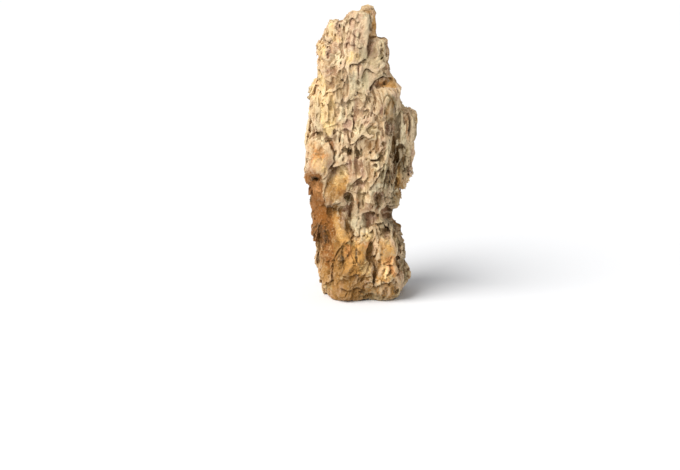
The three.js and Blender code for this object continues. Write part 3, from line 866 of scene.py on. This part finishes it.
# %% The patches on the front
# Middle across and up, half the width and height, how far the top leans right in degrees, and strength.
# A strength over 1 keeps a patch solid where the mottling would thin it.
PATCHES = {
    "buff": [
        (-6, 384, 20, 16, 0, 0.7), (-46, 374, 16, 20, 0, 0.7), (-10, 346, 26, 30, 0, 0.9),
        (22, 340, 14, 24, 0, 0.7), (-2, 306, 22, 18, 0, 1.0), (36, 300, 12, 8, 0, 0.8),
        (44, 296, 14, 8, 0, 0.5), (-6, 268, 30, 24, 0, 0.5), (58, 250, 14, 24, 0, 1.3),
        (64, 240, 12, 28, 0, 1.0), (-57, 202, 15, 26, 0, 0.3), (-36, 106, 10, 14, 0, 0.6),
        (34, 80, 16, 12, 0, 0.2), (-10, 66, 22, 28, 0, 0.8), (54, 50, 7, 28, 0, 1.2),
        (30, 20, 34, 14, 0, 1.2),
    ],
    "mauve": [
        (-17, 395, 5, 4, 0, 0.9), (-12, 386, 8, 9, 0, 0.7), (-31, 380, 7, 5, 0, 0.9),
        (-6, 372, 7, 14, 0, 1.1), (-19, 357, 5, 7, 0, 0.8), (-8, 354, 8, 9, 0, 0.6),
        (14, 343, 5.5, 10, 0, 1.1), (-47, 341, 4, 9, 0, 1.1), (-30, 332, 10, 8, 0, 0.3),
        (17, 326, 6, 6, 0, 0.9), (-52, 318, 8, 5, 0, 0.5), (-42, 318, 9, 6, 0, 0.6),
        (49, 300, 6, 6, 0, 0.9), (18, 298, 6, 6, 0, 0.6), (48, 284, 8, 7, 0, 0.5), (30, 262, 5, 16, 0, 0.9),
        (8, 260, 12, 14, 0, 0.35), (-59, 250, 7, 8, 0, 0.6), (-18, 249, 7, 9, 20, 1.0),
        (38, 244, 7, 10, 0, 1.0), (48, 234, 7, 10, 0, 0.4), (-39, 222, 6, 6, 0, 0.7),
        (67, 208, 7, 5, 0, 1.2), (64, 204, 6, 8, 0, 0.4), (-12, 194, 9, 5, 0, 0.8), (22, 192, 4, 8, 0, 0.4),
        (-72, 190, 6, 14, 0, 0.5), (2, 190, 5, 13, 0, 0.9), (-40, 189, 6, 8, 0, 0.7),
        (67, 180, 7, 12, 0, 0.7), (-6, 165, 10, 9, 0, 0.6), (38, 162, 3, 6, 0, 0.8),
        (40, 158, 5, 8, 0, 0.9), (25, 142, 6, 16, 0, 1.4), (-18, 139, 5, 8, 0, 0.8),
        (38, 122, 8, 14, 0, 1.1), (-26, 121, 5, 8, 0, 1.1), (-24, 121, 6, 10, 0, 1.0),
        (10, 115, 9, 11, 0, 0.9), (34, 97, 4, 7, 0, 1.0), (50, 96, 4, 9, 0, 0.7), (12, 72, 5, 15, 0, 1.5),
    ],
    "olive": [
        (0, 388, 4, 10, 0, 0.35), (-20, 387, 4, 6, 0, 0.6), (-2, 364, 8, 8, 0, 0.3),
        (-39, 359, 2.4, 3, 0, 1.1), (27, 346, 3, 13, 6, 1.1), (-8, 294, 5, 7, 0, 0.4),
        (38, 264, 7, 20, 0, 1.3), (76, 232, 2.6, 28, 0, 1.1), (-14, 228, 6, 6, 0, 0.7),
        (58, 226, 4, 14, 0, 0.15), (58, 214, 6, 10, 0, 0.9), (-57, 202, 15, 26, 0, 0.3),
        (47, 200, 8, 22, 0, 1.3), (60, 192, 9, 16, 0, 0.45), (57, 186, 7, 16, 0, 1.0),
        (33, 175, 8, 20, 0, 1.1), (22, 170, 4, 8, 24, 0.5), (46, 170, 5, 14, 0, 0.6),
        (-45, 160, 6, 14, 0, 0.4), (50, 156, 4, 14, 0, 0.9), (53, 148, 6, 16, 0, 0.9),
        (44, 140, 8, 9, 0, 1.3), (-43, 136, 8, 9, 0, 0.8), (38, 120, 10, 14, 0, 0.6),
        (-28, 112, 7, 14, 0, 0.4), (-11, 104, 5, 8, 0, 0.4), (52, 98, 9, 18, -10, 1.3),
        (34, 80, 12, 10, 0, 0.6), (26, 74, 4, 8, 0, 0.8), (-34, 62, 6, 26, 0, 1.1),
        (-12, 60, 20, 24, 0, 1.4), (62, 50, 8, 36, 0, 0.8), (-36, 30, 20, 18, 0, 0.6),
        (28, 30, 14, 12, 0, 1.0), (47, 26, 9, 16, 0, 0.9), (38, 14, 16, 12, 0, 1.2),
        (10, 12, 50, 10, 0, 1.4),
    ],
    "ochre": [
        (6, 398, 7, 5, 0, 0.6), (-10, 388, 6, 9, 0, 0.3), (17, 381, 5, 18, 0, 0.8),
        (-38, 314, 12, 10, 0, 0.3), (33, 303, 13, 6, -8, 0.4), (-50, 276, 8, 12, 0, 0.3),
        (38, 266, 5, 14, 0, 0.6), (17, 221, 8, 11, 0, 0.7), (15, 184, 4, 9, 0, 0.5),
        (36, 178, 4, 12, 12, 0.5), (50, 176, 6, 10, 0, 0.6), (-36, 160, 14, 20, 12, 1.1),
        (48, 152, 6, 12, 0, 0.6), (53, 152, 5, 14, 0, 0.8), (-2, 144, 6, 8, 0, 0.3),
        (48, 143, 6, 8, 0, 0.6), (-44, 114, 18, 24, 0, 0.9), (-32, 104, 9, 20, -14, 0.6),
        (-24, 70, 40, 44, 0, 1.3), (-10, 66, 24, 32, 0, 1.0), (34, 52, 16, 18, 0, 0.8),
        (-26, 28, 40, 30, 0, 1.2), (36, 16, 16, 12, 0, 0.7),
    ],
    "gold": [
        (17, 384, 5, 16, 0, 0.7), (13, 361, 6, 4, 0, 0.6), (34, 302, 13, 6, 0, 0.9),
        (-52, 262, 4, 12, 0, 0.3), (-60, 204, 12, 18, 0, 0.5), (-28, 172, 10, 16, 10, 1.1),
        (47, 172, 5, 12, 0, 0.9), (-36, 112, 6, 20, -14, 0.5), (5, 96, 7, 7, 0, 0.6),
        (-25, 92, 9, 13, -14, 1.0), (34, 78, 13, 12, 0, 0.6), (-4, 76, 14, 16, 0, 0.8),
        (-14, 64, 16, 22, 0, 0.7), (36, 54, 14, 16, 0, 1.2), (-6, 48, 14, 12, 0, 0.7),
        (51, 44, 5, 22, 0, 0.4), (28, 34, 12, 10, 0, 0.6), (36, 16, 14, 12, 0, 0.3),
    ],
    "rust": [
        (62, 248, 3, 15, 0, 0.9), (-41, 221, 5, 6, 0, 0.6), (-29, 158, 5, 6, 0, 0.5),
        (-66, 144, 13, 36, 0, 2.0), (-2, 136, 5, 5, 0, 0.3), (-44, 128, 5, 8, 0, 0.6),
        (-34, 118, 5, 6, 0, 0.4), (-58, 106, 18, 28, 0, 1.8), (4, 84, 6, 4, 0, 0.4),
        (-20, 72, 5, 9, 0, 0.6), (-46, 66, 12, 26, 6, 0.6), (40, 62, 9, 4, 10, 0.6),
        (-26, 60, 6, 10, 0, 0.3), (34, 48, 9, 6, 0, 0.6),
    ],
    "peach": [
        (62, 230, 4, 12, 0, 0.5), (-58, 204, 14, 20, 0, 0.55), (-64, 160, 9, 12, 0, 0.5),
        (-9, 140, 5, 10, 0, 0.7), (4, 84, 8, 4, 0, 0.7), (-20, 70, 8, 10, 0, 0.4), (42, 62, 7, 5, 0, 1.1),
        (30, 57, 5, 6, 0, 0.8), (38, 48, 6, 7, 0, 1.0), (46, 48, 5, 7, 0, 0.9),
    ],
    "yellow": [
        (-42, 374, 4, 10, -4, 1.0), (-33, 360, 6, 6, 0, 1.0), (-56, 345, 5, 13, 0, 1.0),
        (-13, 338, 9, 7, 0, 0.7), (-14, 322, 8, 8, 0, 0.4), (-60, 296, 11, 22, 0, 1.2),
        (-50, 274, 14, 24, 0, 1.1), (-44, 250, 9, 14, 0, 0.9), (2, 222, 8, 10, 0, 0.3),
        (-57, 194, 12, 12, 0, 0.5), (-26, 184, 7, 8, 10, 1.0), (47, 177, 3, 8, 0, 0.6),
        (-36, 176, 6, 10, 0, 0.4), (-30, 100, 8, 18, -14, 0.25), (5, 97, 8, 8, 0, 1.0),
        (-14, 84, 6, 6, 0, 0.5), (34, 77, 12, 9, 0, 0.25), (43, 56, 4, 12, 0, 0.3), (6, 50, 7, 8, 0, 0.7),
        (30, 50, 5, 14, 0, 0.4), (34, 40, 8, 8, 0, 0.5),
    ],
    "cream": [
        (3, 384, 2, 10, -8, 0.7), (-27, 377, 2, 3, 0, 0.7), (-33, 375, 3, 1.8, 0, 0.7),
        (-44, 374, 14, 12, 0, 0.35), (-1, 366, 1.4, 5, 0, 0.9), (24, 354, 3, 4, 30, 0.7),
        (2, 341, 3, 4, 0, 0.9), (-32, 334, 4, 11, 0, 0.9), (31, 334, 2, 7, 0, 0.7), (27, 326, 5, 6, 0, 0.7),
        (-12, 306, 5, 16, 2, 0.8), (-2, 306, 18, 12, 0, 1.1), (34, 286, 4, 3, 0, 0.6),
        (-58, 282, 12, 36, 0, 0.35), (-28, 263, 4, 9, 4, 0.9), (52, 258, 3.2, 8, 0, 1.5),
        (-59, 250, 6, 7, 0, 0.4), (70, 244, 3.4, 16, 0, 1.3), (-4, 243, 7, 8, 0, 0.9),
        (54, 238, 4, 24, 0, 1.4), (-32, 231, 2, 11, 0, 0.8), (-25, 231, 2, 10, 0, 0.8),
        (-60, 226, 8, 8, 0, 0.5), (69, 226, 3, 12, 0, 1.1), (-58, 218, 8, 6, 0, 0.3),
        (35, 216, 3, 14, 6, 1.2), (17, 207, 4, 2.2, 0, 1.2), (64, 207, 4, 3, 0, 0.8),
        (-30, 204, 5, 10, 34, 0.7), (29, 197, 3, 7, 28, 1.1), (18, 194, 5, 5, 0, 0.6),
        (33, 168, 2, 10, 20, 0.8), (22, 163, 5.5, 9, 24, 0.7), (43, 161, 2.6, 7, 10, 1.2),
        (45, 156, 6, 3, 0, 1.4), (45, 154, 6, 2.4, 0, 0.8), (44, 147, 4, 2.4, 0, 0.6),
        (-32, 141, 6, 4, 10, 0.6), (-10, 139, 3, 14, 0, 0.4), (26, 132, 2.2, 9, 0, 0.8),
        (-4, 112, 10, 16, 0, 1.8), (35, 109, 8, 3, -16, 1.0), (4, 98, 7, 6, 0, 0.25),
        (42, 98, 3, 6, 0, 0.9), (-2, 88, 8, 6, 0, 0.4), (42, 84, 4, 7, 0, 0.35), (46, 80, 4, 6, 0, 0.2),
        (66, 56, 1.6, 18, 4, 0.7),
    ],
    "ash": [
        (-8, 380, 12, 14, 0, 0.4), (5, 376, 4.5, 16, 0, 1.2), (-12, 306, 4, 16, 2, 0.6),
        (48, 236, 4, 22, 0, 1.1), (60, 236, 12, 28, 0, 0.35), (-33, 206, 4, 8, 34, 0.7),
        (34, 184, 3, 10, 20, 0.6), (18, 160, 6, 10, 24, 1.3), (-10, 116, 4, 10, 0, 0.2),
        (33, 100, 9, 2.6, 0, 0.4), (-10, 95, 4, 6, 0, 0.5),
    ],
    # Umber is a dark stain, but on the front it is also painted shade, put in holes, cracks, valleys and
    # under ledges.
    "umber_and_shade": [
        (11, 386, 1.6, 9, -4, 0.35), (-33, 384, 2, 1.6, 0, 0.7), (-30, 376, 1.6, 2.4, 20, 0.7),
        (10, 374, 1.2, 8, 0, 0.3), (-34, 371, 2.4, 1.8, 0, 0.6), (-56, 360, 2, 2, 0, 0.8),
        (-50, 359, 2.4, 3, 0, 0.7), (7, 350, 1.6, 12, 4, 0.35), (24, 348, 2.4, 9, 0, 0.4),
        (-48, 342, 3, 6, 0, 0.6), (26, 312, 12, 2, -6, 0.8), (15, 302, 1.8, 8, 20, 0.8),
        (45, 262, 2, 16, 0, 0.9), (29, 257, 2, 16, 0, 0.6), (37, 240, 4, 10, -14, 0.6),
        (76, 236, 1.4, 20, 0, 0.5), (-14, 228, 4, 4, 0, 0.6), (-46, 227, 4.4, 3.4, 0, 1.6),
        (42, 222, 3.5, 12, -14, 0.8), (55, 213, 4, 6, 0, 0.7), (-17, 208, 4.4, 3, -50, 1.2),
        (53, 206, 3, 14, 0, 1.0), (17, 201, 3.6, 1.5, 0, 1.2), (47, 200, 5, 16, 0, 0.8),
        (66, 200, 6, 1.6, 20, 0.8), (18, 194, 1.8, 1.8, 0, 0.9), (70, 190, 3, 3, 0, 0.6),
        (-40, 188, 5, 6, 0, 0.6), (57, 184, 2.6, 12, 0, 0.6), (45, 182, 3.5, 12, 4, 1.0),
        (43, 178, 1.6, 8, 10, 0.7), (35, 176, 1.8, 12, 14, 1.1), (-64, 172, 5, 2.5, 0, 1.1),
        (40, 172, 1.8, 10, 10, 1.0), (46, 160, 2, 8, 0, 1.0), (31, 150, 2, 8, 0, 1.0),
        (42, 150, 6, 1.8, 0, 1.4), (-19, 148, 5, 5, 0, 1.4), (37, 147, 2, 7, 0, 0.9),
        (25, 146, 3, 10, 0, 0.5), (49, 146, 1.6, 6, 0, 0.6), (22, 140, 2, 12, 0, 0.9),
        (43, 140, 2.4, 7, -10, 0.9), (-43, 134, 6, 5, 0, 0.7), (-16, 128, 2.5, 12, 0, 1.0),
        (9, 124, 9, 2.4, 8, 0.6), (-44, 120, 4, 10, 0, 0.4), (40, 120, 9, 16, 0, 1.4),
        (5, 116, 2, 6, 0, 0.3), (46, 104, 2, 10, -20, 0.8), (34, 97, 3, 6, 0, 0.9),
        (54, 96, 2.4, 18, -10, 0.5), (-56, 92, 14, 18, 0, 0.5), (51, 88, 2.4, 12, -10, 0.8),
        (10, 82, 2, 10, 0, 0.3), (32, 78, 2, 2.4, 0, 0.7), (-7, 68, 1.6, 12, 0, 0.8),
        (59, 66, 2.6, 22, -4, 0.5), (-29, 64, 4, 18, 0, 0.5), (-20, 64, 2, 6, 0, 0.6),
        (53, 64, 2.4, 10, 0, 0.6), (-2, 58, 1.6, 8, 0, 0.5), (-14, 44, 6, 1.4, 10, 0.5),
        (54, 44, 2, 14, 0, 0.5), (17, 38, 2, 16, 0, 0.9), (29, 26, 6, 1.2, 20, 0.6),
        (45, 22, 1.6, 12, -8, 0.5), (32, 18, 1.4, 10, 12, 0.4), (-10, 16, 2, 8, 0, 0.5),
    ],
}
print(sum(len(patches) for patches in PATCHES.values()), "patches of", len(PATCHES), "stains")

# %% The patches elsewhere
# On the sides and back each mineral follows its own noise: how wide and high its patches are in mm, the
# level of noise where they start at the foot and at the top, and their strength.
DRIFTS = {
    "buff": (30, 50, 0.2, -0.5, 0.9),
    "mauve": (28, 44, 0.3, 0.15, 0.7),
    "olive": (26, 60, 0.1, 0.3, 0.6),
    "ochre": (34, 60, -0.5, 0.2, 0.9),
    "gold": (26, 60, 0.0, 0.35, 0.7),
    "rust": (30, 60, 0.15, 0.5, 0.8),
    "peach": (24, 50, 0.35, 0.4, 0.5),
    "yellow": (34, 60, 0.35, 0.1, 0.7),
    "cream": (26, 50, 0.4, 0.2, 0.6),
    "ash": (22, 46, 0.45, 0.3, 0.5),
    "umber_and_shade": (14, 24, 0.4, 0.45, 0.6),
}
MOTTLES = (4.5, 7)  # width and height in mm
FINE_MOTTLES = (2.2, 3.4)
print("the widest drift is", max(drift[0] for drift in DRIFTS.values()), "mm wide")


def patch_masks(x, y, z, face):
    """How much of each mineral shows at each point."""
    coarse, fine = (x / 9, y / 9, z / 14), (x / 3.4, y / 3.4, z / 5)
    wx = x + (3.2 * soft_noise(*coarse, 201) + 1.6 * soft_noise(*fine, 202))
    wz = z + (5.0 * soft_noise(*coarse, 203) + 2.4 * soft_noise(*fine, 204))
    placed_share = smooth_step(-0.25, 0.25, face)

    def spot(width, tall):
        """The bent places, counted in patches of this size."""
        return wx / width, y / width, wz / tall

    masks = []
    for n, (mineral, patches) in enumerate(PATCHES.items()):
        mask = np.zeros_like(x)
        for *oval, strength in patches:
            mask = np.maximum(mask, strength * smooth_step(1.5, 0.5, np.hypot(*in_oval(wx, wz, *oval))))
        mottle = soft_noise(*spot(*MOTTLES), 340 + n) + 0.6 * soft_noise(*spot(*FINE_MOTTLES), 360 + n)
        mask *= 1 + 0.55 * mottle
        width, tall, foot_level, top_level, strength = DRIFTS[mineral]
        level = foot_level + (top_level - foot_level) * smooth_step(60, 200, z)
        drift = soft_noise(*spot(width, tall), 300 + n)
        drift += 0.5 * soft_noise(*spot(0.4 * width, 0.4 * tall), 320 + n)
        drift = strength * smooth_step(level, level + 0.6, drift) * (1 + 0.55 * mottle)
        masks.append(np.maximum(mask * placed_share, drift * (1 - 0.75 * placed_share)))
    return masks


# %% Numbers on every vertex
# Tone, tint and grain are held back where the stone is stained, because the stain covers them.
masks = dict(zip(PATCHES, in_pieces(patch_masks, vx, vy, vz, face_front)))
volumes = {"tone": scale_tone, "tint": scale_tint, "ledge_shadow": ledge_shadows, "rib": tops}
for name, values in volumes.items():
    filled = np.zeros_like(skin)
    filled.ravel()[shell] = values
    volumes[name] = read_at_points(filled)
stained = masks["rust"] + 0.3 * (masks["ochre"] + masks["olive"] + masks["gold"])
stained = np.clip(stained, 0, 0.85)
masks["tone"] = 0.45 + (volumes["tone"] - 0.45) * (1 - 0.8 * stained)
masks["tint"] = 0.5 + (volumes["tint"] - 0.5) * (1 - 0.8 * stained)
masks["grainy"] = 1 - stained
# Crests and the tops of ribs are paler: partly wear, partly a painted highlight.
wear_and_highlight_most = 0.36 * (1 - stained)
masks["crest"] = np.maximum(wear_and_highlight_most * smooth_step(0.15, 0.95, fine_bulge), 0.35 * volumes["rib"])
# Grooves and hollows are darker: partly dark earth, partly painted shade.
grooves = np.maximum(smooth_step(-0.1, -0.8, fine_bulge), smooth_step(-0.2, -2.8, broad_bulge))
masks["earth_and_shade"] = (0.62 - 0.15 * smooth_step(210, 280, vz)) * grooves
# The cracks under the ledges get a painted shadow.
masks["ledge_shadow"] = 0.85 * volumes["ledge_shadow"]
for name, values in masks.items():
    layer = stone_mesh.attributes.new(name, "FLOAT", "POINT")
    layer.data.foreach_set("value", np.clip(values, 0, 1).astype(np.float32))
    print(name, "covers", round(100 * float(np.mean(values))), "%")

# %% [markdown]
# ## The finish of the rock
#
# Dragon stone is dry, weathered clay rock: rough all over, with no gloss, because its surface was washed
# out by water and never cut. So its roughness is high and its specular level low, with the usual index of
# refraction of a mineral, 1.5. Its colour comes in layers: the bare clay, the stains of the minerals, a
# shade for each scale, grains, and then the wear with painted light and shade. Crests are rubbed pale, and
# painted paler still as a highlight. Grooves and hollows hold dark iron earth and are painted darker as
# shade, and a painted shadow lies in the cracks under the ledges. Each layer is mixed over the one before
# by its own number on the vertices. A wrapped picture of rock would be quicker, but it smears in undercuts.

# %% Weathered clay stone
STAIN_COLOURS = {
    "buff": "#dcc3a4", "mauve": "#b08d7a", "olive": "#7d6c4a", "ochre": "#9d7036", "gold": "#cb964f",
    "rust": "#88521a", "peach": "#d39458", "yellow": "#f5d392", "cream": "#e6d6b0", "ash": "#cec2a2",
    "umber_and_shade": "#3d280f",
}
SPECKLE_WIDTH = 2.6 * MM  # real flecks of iron are finer; they are drawn this coarse to show
STREAK_WIDTH = 3.4 * MM  # of paler clay, washed down the stone
STREAK_TALL = 11 * MM

clay_stone, tree, shader = new_material("weathered_clay_stone")
where = add(tree, "ShaderNodeTexCoord").outputs["Object"]
speckle = add(tree, "ShaderNodeTexNoise", {}, Vector=where, Scale=1 / SPECKLE_WIDTH, Detail=3.0,
              Roughness=0.65)
drawn_up = add(tree, "ShaderNodeVectorMath", {"operation": "MULTIPLY"}, _0=where,
               _1=(1, 1, STREAK_WIDTH / STREAK_TALL))
streaks = add(tree, "ShaderNodeTexNoise", {}, Vector=drawn_up.outputs[0], Scale=1 / STREAK_WIDTH, Detail=3.0,
              Roughness=0.6, Distortion=0.6)

# %% The bare clay
# Two shades of clay by scale, streaked with paler clay up and down.
EASED = {"interpolation_type": "SMOOTHSTEP"}
COLOURED = {"data_type": "RGBA"}
tone = add(tree, "ShaderNodeAttribute", {"attribute_name": "tone"})
clay = add(tree, "ShaderNodeMix", COLOURED, _0=tone.outputs["Fac"], _6=linear("#b08c6c"),
           _7=linear("#be9b70"))
pale = add(tree, "ShaderNodeMapRange", EASED, _0=streaks.outputs["Fac"], _1=0.3, _2=0.7)
colour = add(tree, "ShaderNodeMix", COLOURED, _0=pale.outputs[0], _6=clay.outputs[2], _7=linear("#dac097"))
print(len(tree.nodes), "nodes for bare clay")

# %% The stains
# The speckle frays the edge of every stain, as iron creeps through clay unevenly.
wander = add(tree, "ShaderNodeMapRange", EASED, _0=speckle.outputs["Fac"], _1=0.3, _2=0.7, _3=0.45, _4=1.55)
for mineral, stain in STAIN_COLOURS.items():
    mask = add(tree, "ShaderNodeAttribute", {"attribute_name": mineral})
    ragged = add(tree, "ShaderNodeMath", {"operation": "MULTIPLY"}, _0=mask.outputs["Fac"],
                 _1=wander.outputs[0])
    share = add(tree, "ShaderNodeMapRange", EASED, _0=ragged.outputs[0], _1=0.1, _2=0.8, _3=0.0, _4=0.95)
    colour = add(tree, "ShaderNodeMix", COLOURED, _0=share.outputs[0], _6=colour.outputs[2], _7=linear(stain))
print(len(STAIN_COLOURS), "stains mixed in")

# %% Each scale its own shade
# The tone makes a scale darker or paler, and the tint makes it rosy or greenish: four layers, each with the
# number it follows, where that starts and ends, how strong it gets, and its colour.
tint = add(tree, "ShaderNodeAttribute", {"attribute_name": "tint"})
SHADES = {
    "rosy": (tint, 0.38, 0.1, 0.45, "#c79a80"),
    "greenish": (tint, 0.62, 0.9, 0.48, "#a3966a"),
    "darker": (tone, 0.55, 0.85, 0.4, "#9c7454"),
    "paler": (tone, 0.35, 0.1, 0.3, "#e8d3a6"),
}
for number, start, end, strongest, shade in SHADES.values():
    share = add(tree, "ShaderNodeMapRange", EASED, _0=number.outputs["Fac"], _1=start, _2=end, _3=0.0,
                _4=strongest)
    colour = add(tree, "ShaderNodeMix", COLOURED, _0=share.outputs[0], _6=colour.outputs[2], _7=linear(shade))

# %% Grains
# Sand grains in clay are a tenth of this size. They are drawn coarser, so that they show.
GRAIN = 1.7 * MM
GRAIN_STRENGTH = 0.36
print("grains drawn", round(GRAIN / MM, 1), "mm wide")
grains = add(tree, "ShaderNodeTexNoise", {}, Vector=where, Scale=1 / GRAIN, Detail=2.0, Roughness=0.6)
grainy = add(tree, "ShaderNodeAttribute", {"attribute_name": "grainy"})
most = add(tree, "ShaderNodeMath", {"operation": "MULTIPLY"}, _0=grainy.outputs["Fac"], _1=GRAIN_STRENGTH)
for start, end, shade in ((0.52, 0.7, "#f2dfb8"), (0.48, 0.3, "#84643c")):
    share = add(tree, "ShaderNodeMapRange", EASED, _0=grains.outputs["Fac"], _1=start, _2=end, _3=0.0,
                _4=most.outputs[0])
    colour = add(tree, "ShaderNodeMix", COLOURED, _0=share.outputs[0], _6=colour.outputs[2], _7=linear(shade))

# %% The wear and painted highlight, the earth and painted shade, and the painted ledge shadows
# Pale crests are wear and painted highlight, dark grooves are earth and painted shade, and the ledge cracks
# get painted shadow.
for layer_name, shade in (("crest", "#f4dfbb"), ("earth_and_shade", "#664312"), ("ledge_shadow", "#38230a")):
    layer = add(tree, "ShaderNodeAttribute", {"attribute_name": layer_name})
    colour = add(tree, "ShaderNodeMix", COLOURED, _0=layer.outputs["Fac"], _6=colour.outputs[2],
                 _7=linear(shade))
bump = add(tree, "ShaderNodeBump", {}, Strength=0.5, Distance=0.6 * MM, Height=speckle.outputs["Fac"])
tree.links.new(colour.outputs[2], shader.inputs["Base Color"])
tree.links.new(bump.outputs["Normal"], shader.inputs["Normal"])
shader.inputs["Roughness"].default_value = 0.92
shader.inputs["IOR"].default_value = 1.5
shader.inputs["Specular IOR Level"].default_value = 0.25
stone_mesh.materials.append(clay_stone)
print(len(tree.nodes), "nodes in the material")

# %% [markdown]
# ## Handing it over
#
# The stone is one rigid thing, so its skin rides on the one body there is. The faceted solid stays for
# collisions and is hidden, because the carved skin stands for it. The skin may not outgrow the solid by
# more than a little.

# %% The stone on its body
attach(stone, "root")
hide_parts(NODE)
print(stone.name, "stands for", NODE)
